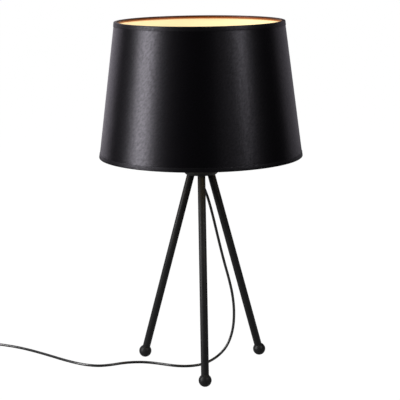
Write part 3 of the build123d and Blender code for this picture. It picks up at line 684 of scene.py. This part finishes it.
def hemOutline(edge, inward, values):
    # a band outside, round the edge, over the wire ring and back to the lining
    wall, glue, turn = values["hemWall"], values["glueGap"], values["hemRound"]
    ringGap = values["wireGap"] + values["wire"] / 2
    reach = edge + inward * (wall + 2 * ringGap)
    ringRadius = min(liningIn(edge, values), liningIn(reach, values)) - ringGap
    band = edge + inward * values["hemHeight"]
    cap = edge + inward * wall
    tuck = cap + inward * (values["wire"] + 2 * values["wireGap"])
    tuckEnd = tuck + inward * wall
    inner = ringRadius - ringGap - wall
    return roundCorners([
        (hemOut(band, values), band, values["bandRound"]), (hemOut(edge, values), edge, turn),
        (inner, edge, turn), (inner, tuckEnd, turn),
        (liningIn(tuckEnd, values) - glue, tuckEnd), (liningIn(tuck, values) - glue, tuck),
        (inner + wall, tuck), (inner + wall, cap),
        (hemOut(cap, values) - wall, cap), (hemOut(band, values) - wall, band)])


def makeShade(values):
    steps = values["steps"]
    low = values["bottomZ"] + values["hemWall"] + values["glueGap"]
    high = values["topZ"] - values["hemWall"] - values["glueGap"]
    coverSheet = sheetOutline(coverOut, low, high, 0, values["coverWall"], values)
    dress(turnOutline("shadeCloth", coverSheet, steps), "shade", "shade_fabric", "shade_cover")
    liningSheet = sheetOutline(liningOut, low, high, 0, values["liningWall"], values)
    dress(turnOutline("goldLining", liningSheet, steps), "shade", "gold_lining", "shade_lining")
    topHem = turnOutline("topHem", hemOutline(values["topZ"], -1, values), steps)
    dress(topHem, "shade", "hem_fabric", "shade_top_hem")
    bottomHem = turnOutline("bottomHem", hemOutline(values["bottomZ"], 1, values), steps)
    dress(bottomHem, "shade", "hem_fabric", "shade_bottom_hem")
    low = values["bottomZ"] + values["hemHeight"]
    high = values["topZ"] - values["hemHeight"]
    sweep = math.degrees(values["seamWidth"] / values["bottomRadius"])
    tuck, lift, sink = values["seamTuck"], values["seamLift"], values["seamSink"]
    outerLap = sheetOutline(coverOut, low - tuck, high + tuck, lift, sink, values)
    seam = turnOutline("lapSeam", outerLap, values["seamSteps"], sweep, values["seamAngle"])
    dress(seam, "shade", "hem_fabric")
    innerLap = sheetOutline(liningIn, low, high, sink, lift, values)
    tape = turnOutline("liningLap", innerLap, values["seamSteps"], sweep, values["seamAngle"])
    dress(tape, "shade", "gold_lining")


makeShade(shadeSet)
print("shade ready")

# Legs and ball feet; the turned hub is the solid one

standSet = {
    "legRadius": 5.75,
    "legWall": 1.0,
    "legEdge": 0.25,
    "legCircle": 16.7,
    "footCircle": 102.0,
    "hubBottom": 295.0,
    "seat": 4.0,
    "ballRadius": 9.5,
    "ballHeight": 9.0,
    "ballSeat": 3.0,
    "ballInset": 0.5,
    "legAngles": {"front": 270.0, "right": 30.0, "left": 150.0},
    "legSides": 64,
    "ballSides": 64,
    "ballRings": 40,
    "ballSmooth": 25,
}


def legLine(angle, values):
    toward = Vector((math.cos(math.radians(angle)), math.sin(math.radians(angle)), 0))
    foot = toward * values["footCircle"] + Vector((0, 0, values["ballHeight"]))
    top = toward * values["legCircle"] + Vector((0, 0, values["hubBottom"]))
    return foot, top


def selectFaces(piece, test):
    bpy.ops.object.mode_set(mode="OBJECT")
    for face in piece.data.polygons:
        face.select = test(face)
    bpy.ops.object.mode_set(mode="EDIT")


def makeLeg(name, angle, values):
    foot, top = legLine(angle, values)
    along = (top - foot).normalized()
    length = (top - foot).length + values["seat"] - values["ballSeat"]
    deselectAll()
    bpy.ops.mesh.primitive_cylinder_add(
        vertices=values["legSides"], radius=values["legRadius"] * mm, depth=length * mm, end_fill_type="NGON")
    leg = nameNew(name)
    bpy.ops.object.mode_set(mode="EDIT")
    bpy.ops.mesh.select_mode(type="FACE")
    selectFaces(leg, lambda face: abs(face.normal.z) > 0.9)  # both ends of the tube
    bpy.ops.mesh.inset(thickness=values["legWall"] * mm, use_individual=True)
    bpy.ops.object.mode_set(mode="OBJECT")
    bevelEdges(leg, values["legEdge"])
    leg.rotation_mode = "QUATERNION"
    leg.rotation_quaternion = along.to_track_quat("Z", "Y")
    leg.location = (foot + along * (values["ballSeat"] + length / 2)) * mm
    activate(leg)
    applyPlace()
    smoothBelow(turnedSmooth)
    return leg


def makeBall(name, angle, values):
    # a ball that is cut flat where it stands
    foot = legLine(angle, values)[0]
    deselectAll()
    bpy.ops.mesh.primitive_uv_sphere_add(
        segments=values["ballSides"], ring_count=values["ballRings"], radius=values["ballRadius"] * mm,
        location=foot * mm)
    ball = nameNew(name)
    applyPlace()
    bpy.ops.object.mode_set(mode="EDIT")
    bpy.ops.mesh.select_all(action="SELECT")
    bpy.ops.mesh.bisect(plane_co=(0, 0, 0), plane_no=(0, 0, 1), use_fill=True, clear_inner=True)
    bpy.ops.mesh.inset(thickness=values["ballInset"] * mm)
    turnFacesOut()
    smoothBelow(values["ballSmooth"])
    return ball


def makeStand(values):
    for name, angle in values["legAngles"].items():
        dress(makeLeg(name + "Leg", angle, values), "stand", "black_paint", "leg_" + name)
        dress(makeBall(name + "Foot", angle, values), "stand", "black_ball", "foot_" + name)


makeStand(standSet)
print("stand ready")

# Bulb with its rolled thread, and the lampholder's threaded sleeve

threadSet = {
    "points": 12,
    "margin": 0.02,  # share of the pitch that stays free at either side of the ridge
    "depth": 0.3,  # how far the ridge goes into its core
    "smooth": 60,
}

bulbSet = {
    "rimZ": 374.7,
    "neckRadius": 13.4,
    "neckHeight": 10.0,
    "globeRadius": 30.0,
    "centreRise": 50.0,
    "wall": 1.0,
    "neckSteps": 12,
    "globeSteps": 40,
    "capFoot": 356.3,
    "capFootRadius": 11.4,
    "capFootRound": 0.7,
    "capCone": 1.6,
    "capConeRound": 0.5,
    "capWall": 0.5,
    "capInside": 1.8,
    "capRimGap": 0.3,
    "capRimStep": 0.5,
    "capRimRound": 0.3,
    "tipRadius": 4.75,
    "crest": 12.98,
    "root": 12.25,
    "pitch": 3.629,
    "turns": 3,
    "threadFoot": 358.0,
    "steps": 96,
}

sleeveSet = {
    "foot": 333.0,
    "top": 371.0,
    "footRadius": 19.5,
    "collar": 3.4,
    "collarRound": 0.3,
    "coreFoot": 3.8,
    "core": 18.95,
    "crest": 19.48,
    "root": 18.9,
    "lowerBore": 17.05,
    "bore": 15.8,
    "step": 347.05,
    "lip": 367.5,
    "lipBore": 14.3,
    "lipRound": 0.9,
    "threadFoot": 337.0,
    "pitch": 2.5,
    "turns": 12,
    "steps": 120,
}


def globeOutline(values):
    # a hollow curve from the neck runs into the round globe
    neck, globe, rim = values["neckRadius"], values["globeRadius"], values["rimZ"]
    neckZ = rim + values["neckHeight"]
    centreZ = rim + values["centreRise"]
    rise = centreZ - neckZ
    hollow = (rise**2 + neck**2 - globe**2) / (2 * (globe - neck))
    lean = math.asin(rise / (globe + hollow))
    outline = [(0, rim + values["wall"]), (neck - values["wall"], rim), (neck, rim)]
    for i in range(values["neckSteps"] + 1):
        angle = lean * i / values["neckSteps"]
        outline.append((neck + hollow - hollow * math.cos(angle), neckZ + hollow * math.sin(angle)))
    for i in range(1, values["globeSteps"] + 1):
        angle = -lean + (math.pi / 2 + lean) * i / values["globeSteps"]
        outline.append((globe * math.cos(angle), centreZ + globe * math.sin(angle)))
    return outline


def makeThread(name, values, ridgeValues=threadSet):
    # one rounded ridge, closed inside the core, is wound up the axis by the Screw modifier
    crest, root, pitch, points = values["crest"], values["root"], values["pitch"], ridgeValues["points"]
    low = values["threadFoot"] + ridgeValues["margin"] * pitch
    high = values["threadFoot"] + (1 - ridgeValues["margin"]) * pitch
    ridge = [(root - ridgeValues["depth"], high), (root - ridgeValues["depth"], low)]
    for i in range(points + 1):
        radius = (crest + root) / 2 - (crest - root) / 2 * math.cos(math.tau * i / points)
        ridge.append((radius, low + (high - low) * i / points))
    thread = drawLoop(name, [Vector((radius, 0, height)) * mm for radius, height in ridge])
    bpy.ops.object.mode_set(mode="OBJECT")
    applyModifier(thread, "SCREW", axis="Z", angle=math.tau, screw_offset=pitch * mm,
                  iterations=values["turns"], steps=values["steps"], render_steps=values["steps"])
    bpy.ops.object.mode_set(mode="EDIT")
    bpy.ops.mesh.select_all(action="SELECT")
    bpy.ops.mesh.fill_holes(sides=0)
    turnFacesOut()
    smoothBelow(ridgeValues["smooth"])
    return thread


def makeBulb(values):
    globe = turnOutline("bulbGlobe", globeOutline(values), values["steps"])
    dress(globe, "bulb", "bulb_opal", "bulb_globe")
    foot, rim, crest, root = (values[key] for key in ("capFoot", "rimZ", "crest", "root"))
    tip, wall = values["tipRadius"], values["capWall"]
    rimFoot = values["threadFoot"] + values["pitch"] * (values["turns"] + 1) + values["capRimGap"]
    cap = turnOutline("capShell", roundCorners([
        (tip, foot), (values["capFootRadius"], foot, values["capFootRound"]),
        (root, foot + values["capCone"], values["capConeRound"]), (root, rimFoot, values["capRimRound"]),
        (crest, rimFoot + values["capRimStep"], values["capRimRound"]), (crest, rim),
        (root - wall, rim), (root - wall, foot + values["capInside"]), (tip, foot + wall)]), values["steps"])
    thread = makeThread("capThread", values)
    dress(joinPieces("rolledCap", cap, thread), "bulb", "bulb_metal", "bulb_cap")


def makeSleeve(values):
    foot, top, core, lip, step = (values[key] for key in ("foot", "top", "core", "lip", "step"))
    lipBore, bore, lowerBore = values["lipBore"], values["bore"], values["lowerBore"]
    sleeve = turnOutline("holderSkirt", roundCorners([
        (lowerBore, foot), (values["footRadius"], foot),
        (values["footRadius"], foot + values["collar"], values["collarRound"]),
        (core, foot + values["coreFoot"]), (core, top, values["lipRound"]),
        (lipBore, top, values["lipRound"]), (lipBore, lip),
        (bore, lip), (bore, step), (lowerBore, step)]), values["steps"])
    thread = makeThread("skirtThread", values)
    dress(joinPieces("threadedSkirt", sleeve, thread), "stand", "holder_plastic", "holder_sleeve")


makeBulb(bulbSet)
makeSleeve(sleeveSet)
print("bulb and lampholder ready")

# Mains cord, laid on the route of the solid cord

cordSet = {
    "diameter": 4.0,
    "bevelResolution": 6,
    "splineResolution": 12,
    "lead": [
        (0, 0, 288), (0, 0, 281), (4.4, 0.8, 273), (8.7, 1.6, 261.5), (13.2, 2.4, 245.5),
        (18.4, 3.4, 224), (25, 4.7, 194), (32.7, 6, 161), (41.1, 7.5, 129.6), (46.2, 8.5, 104.4),
        (48.1, 9, 79.2), (46.3, 9.3, 53), (38.4, 9, 29), (26.2, 7, 14.4), (11.5, 1.8, 5.8),
        (-4, -5.4, 2.2), (-22.5, -11, 2), (-42, -8.2, 2), (-61.5, 2.2, 2), (-80, 11.4, 2),
        (-98.5, 15.4, 2), (-120, 12.8, 2), (-140, 2.6, 2), (-158.5, -1.5, 2), (-177, 4.4, 2),
        (-195, 16.6, 2), (-215, 34.4, 2), (-233, 53, 2), (-252, 71.5, 2), (-272, 90, 2),
        (-294, 107, 2), (-318, 120.5, 2), (-341, 127.5, 3.2), (-357.5, 124, 5.2), (-367.5, 115.5, 7.2),
        (-372, 104, 8.5), (-372, 94, 8.5)],
    "tail": [
        (-372, 4, 8.5), (-372, -5.5, 8.5), (-373.2, -16, 5.8), (-372, -26.5, 3.3), (-372, -36, 3.3)],
    "end": [
        (-369.7, -44, 7.8), (-369.7, -51, 7.8), (-368.9, -57.5, 7.3), (-369.7, -64, 6.85),
        (-369.7, -71, 6.85)],
    "coilCentre": (-343, -40),
    "coilOuterRadius": 29.0,
    "coilHeight": 3.3,
    "coilStep": 4.6,
    "coilLayer": 4.5,
    "turnsIn": 3.0,
    "turnsOut": 2.5,
    "climb": 0.5,
    "startAngle": 180,
    "pointsPerTurn": 20,
}


def coilPoints(values):
    # turns inwards on the floor, a climb to the upper layer, and turns outwards on it
    turns = values["turnsIn"] + values["climb"] + values["turnsOut"]
    reverse = values["turnsIn"] + values["climb"] / 2
    count = round(turns * values["pointsPerTurn"])
    points = []
    for i in range(count + 1):
        turn = turns * i / count
        angle = math.radians(values["startAngle"] + 360 * turn)
        radius = values["coilOuterRadius"] - values["coilStep"] * (reverse - abs(turn - reverse))
        climbed = min(max((turn - values["turnsIn"]) / values["climb"], 0), 1)
        height = values["coilHeight"] + values["coilLayer"] * (1 - math.cos(math.pi * climbed)) / 2
        points.append((
            values["coilCentre"][0] + radius * math.cos(angle),
            values["coilCentre"][1] + radius * math.sin(angle),
            height))
    return points


def makeCord(name, points, values):
    data = bpy.data.curves.new(name, "CURVE")
    data.dimensions = "3D"
    spline = data.splines.new("NURBS")
    spline.points.add(len(points) - 1)
    for point, place in zip(spline.points, points):
        point.co = (*(Vector(place) * mm), 1)
    spline.order_u = 3  # after the points, or the spline stays straight runs
    spline.use_endpoint_u = True
    spline.resolution_u = values["splineResolution"]
    data.bevel_depth = values["diameter"] / 2 * mm
    data.bevel_resolution = values["bevelResolution"]
    data.use_fill_caps = True
    cord = bpy.data.objects.new(name, data)
    scene.collection.objects.link(cord)
    return cord


leadCord = makeCord("leadCord", cordSet["lead"], cordSet)
coiledCord = makeCord("coiledCord", cordSet["tail"] + coilPoints(cordSet) + cordSet["end"], cordSet)
dress(leadCord, "stand", "cord_black", "cord_lead", "cord_inside", "cord_held")
dress(coiledCord, "stand", "cord_black", "cord_tail", "cord_coil", "cord_end")

# Ribs on the strain reliefs, and the strap round the coil

reliefSet = {
    "ribs": 5,
    "ribRadius": 0.6,
    "sink": 0.25,
    "ringSides": 40,
    "ribSides": 10,
    # root and tip: x, y, z, radius
    "switchInlet": ((-372, 76.5, 8.5, 5.05), (-372, 91.5, 8.5, 3.38)),
    "switchOutlet": ((-372, 21.5, 8.5, 5.05), (-372, 6.5, 8.5, 3.38)),
    "plugInlet": ((-369.7, -90.5, 6.85, 4.17), (-369.7, -73.5, 6.85, 3.24)),
}

strapSet = {
    "centre": (-343, -40),
    "inner": 13.45,
    "outer": 28.45,
    "low": 0.4,
    "high": 10.7,
    "corner": 2.4,
    "cornerSteps": 6,
    "wall": 0.8,
    "width": 6.0,
    "strips": 6,
    "edge": 0.2,
    "tailLength": 9.0,
    "tailShift": 1.0,
    "tailLift": 0.35,
    "tailEdge": 0.3,
    "tailEdgeSteps": 3,
    "smooth": 40,
}


def makeRibs(name, relief, slot, values):
    root, tip = values[relief]
    rings = []
    for i in range(values["ribs"]):
        share = i / (values["ribs"] - 1)
        x, y, z, radius = (a + (b - a) * share for a, b in zip(root, tip))
        deselectAll()
        bpy.ops.mesh.primitive_torus_add(
            major_segments=values["ringSides"], minor_segments=values["ribSides"],
            major_radius=(radius - values["sink"]) * mm, minor_radius=values["ribRadius"] * mm,
            location=Vector((x, y, z)) * mm, rotation=(math.pi / 2, 0, 0))
        applyPlace()
        bpy.ops.object.shade_smooth()
        rings.append(bpy.context.object)
    return dress(joinPieces(name, *rings), "stand", slot)


def makeStrap(values):
    # the band's loop is drawn across the strands, widened into a ribbon, then given its thickness
    inner, outer, low, high, turn = (values[key] for key in ("inner", "outer", "low", "high", "corner"))
    corners = [(inner, low, turn), (outer, low, turn), (outer, high, turn), (inner, high, turn)]
    loop = roundCorners(corners, values["cornerSteps"])
    centre = Vector((*values["centre"], 0))
    points = [(centre + Vector((-values["width"] / 2, radius, height))) * mm for radius, height in loop]
    strap = drawLoop("strapLoop", points)
    stripWidth = values["width"] / values["strips"] * mm
    for strip in range(values["strips"]):
        bpy.ops.mesh.extrude_edges_move(TRANSFORM_OT_translate={"value": (stripWidth, 0, 0)})
    turnFacesOut()
    applyModifier(strap, "SOLIDIFY", thickness=values["wall"] * mm, offset=0.0)
    bevelEdges(strap, values["edge"])
    deselectAll()
    tailMiddle = centre + Vector((
        0, (inner + outer) / 2 + values["tailShift"], high + values["wall"] / 2 + values["tailLift"]))
    bpy.ops.mesh.primitive_cube_add(size=mm, location=tailMiddle * mm)
    tail = bpy.context.object
    tail.scale = (values["width"], values["tailLength"], values["wall"])
    applyPlace()
    bevelEdges(tail, values["tailEdge"], values["tailEdgeSteps"])
    strap = joinPieces("tieStrap", strap, tail)
    smoothBelow(values["smooth"])
    return dress(strap, "stand", "tie_black", "cord_tie")


inletRibs = makeRibs("switchInletRibs", "switchInlet", "switch_black", reliefSet)
outletRibs = makeRibs("switchOutletRibs", "switchOutlet", "switch_black", reliefSet)
plugRibs = makeRibs("plugRibs", "plugInlet", "plug_black", reliefSet)
tieStrap = makeStrap(strapSet)
print("cords ready")

# Floor and studio light

studioSet = {
    "aim": (0, 0, 300),
    "floorSize": 60000,
    "floorGlow": 1.0,
    "floorColour": (0.03, 0.03, 0.03),
    "worldLight": 0.008,
    "bulbPlace": (0, 0, 424.7),
    "bulbRadius": 30.6,
    "bulbRadiance": 5.5,
    "bulbColour": (1.0, 0.92, 0.68),
    "fillRadius": 600,
    "fillHeight": 2,
    "fillRadiance": 0.27,
}

# azimuth is seen from above, from the camera's side towards the right
boxSet = {
    "leftBox": {
        "azimuth": -71.6, "distance": 1600, "height": 850, "width": 590, "tall": 1600, "radiance": 10.8},
    "rightBox": {
        "azimuth": 52, "distance": 1600, "height": 1060, "width": 250, "tall": 1150, "radiance": 5.9},
    "rightHighBox": {
        "azimuth": 50, "distance": 1600, "height": 1320, "width": 300, "tall": 700, "radiance": 5.2},
    "rightRamp": {
        "azimuth": 30, "distance": 1700, "height": 800, "width": 650, "tall": 1600, "radiance": 0.2},
    "backLeftBox": {
        "azimuth": -151, "distance": 1900, "height": 790, "width": 1900, "tall": 1500, "radiance": 0.74,
        "colour": (0.97, 0.92, 1.0)},
    "backRightBox": {
        "azimuth": 141, "distance": 1900, "height": 790, "width": 1960, "tall": 1500, "radiance": 0.32,
        "colour": (0.97, 0.92, 1.0)},
    "topBox": {
        "azimuth": 180, "distance": 300, "height": 2300, "width": 1500, "tall": 1500, "radiance": 0.6},
}


def makeFloor(values):
    deselectAll()
    bpy.ops.mesh.primitive_plane_add(size=values["floorSize"] * mm, location=(0, 0, 0))
    floor = nameNew("floor")
    material, tree, shader = newMaterial("paleFloor")
    setInputs(shader, {
        "Base Color": (*values["floorColour"], 1), "Roughness": 0.9, "Specular IOR Level": 0.0,
        "Emission Color": (1, 1, 1, 1), "Emission Strength": values["floorGlow"]})
    floor.data.materials.append(material)
    floor.visible_glossy = False
    floor.visible_diffuse = False


def hangLight(light, place, rotation=(0, 0, 0)):
    lightObject = bpy.data.objects.new(light.name, light)
    lightObject.location = place
    lightObject.rotation_euler = rotation
    lightObject.visible_camera = False
    scene.collection.objects.link(lightObject)


def makeBoxes(boxes, aim):
    for name, box in boxes.items():
        angle = math.radians(box["azimuth"])
        place = Vector((math.sin(angle), -math.cos(angle), 0)) * box["distance"] * mm
        place.z = box["height"] * mm
        light = bpy.data.lights.new(name, "AREA")
        light.color = box.get("colour", (1, 1, 1))
        light.shape = "RECTANGLE"
        light.size = box["width"] * mm
        light.size_y = box["tall"] * mm
        light.energy = box["radiance"] * math.pi * light.size * light.size_y
        hangLight(light, place, (Vector(aim) * mm - place).to_track_quat("-Z", "Y").to_euler())


def makeFill(values):
    # light that the pale floor throws up at the legs
    light = bpy.data.lights.new("floorFill", "AREA")
    light.shape = "DISK"
    light.size = 2 * values["fillRadius"] * mm
    light.energy = values["fillRadiance"] * (math.pi * light.size / 2) ** 2
    hangLight(light, (0, 0, values["fillHeight"] * mm), (math.pi, 0, 0))


def makeBulbLight(values):
    light = bpy.data.lights.new("bulbLight", "POINT")
    light.color = values["bulbColour"]
    light.shadow_soft_size = values["bulbRadius"] * mm
    light.energy = values["bulbRadiance"] * (math.tau * light.shadow_soft_size) ** 2
    hangLight(light, Vector(values["bulbPlace"]) * mm)


def makeWorld(values):
    # white where the camera sees it, and a faint light on the lamp
    world = bpy.data.worlds.new("studio")
    world.use_nodes = True
    scene.world = world
    tree = world.node_tree
    background = tree.nodes["Background"]
    seen = addNode(tree, "ShaderNodeLightPath").outputs["Is Camera Ray"]
    feedInputs(tree, background, {"Strength": remap(tree, seen, values["worldLight"], 1.0)})
    setInputs(background, {"Color": (1, 1, 1, 1)})


makeFloor(studioSet)
makeBoxes(boxSet, studioSet["aim"])
makeFill(studioSet)
makeBulbLight(studioSet)
makeWorld(studioSet)
scene.view_settings.view_transform = "Standard"
print("studio ready")
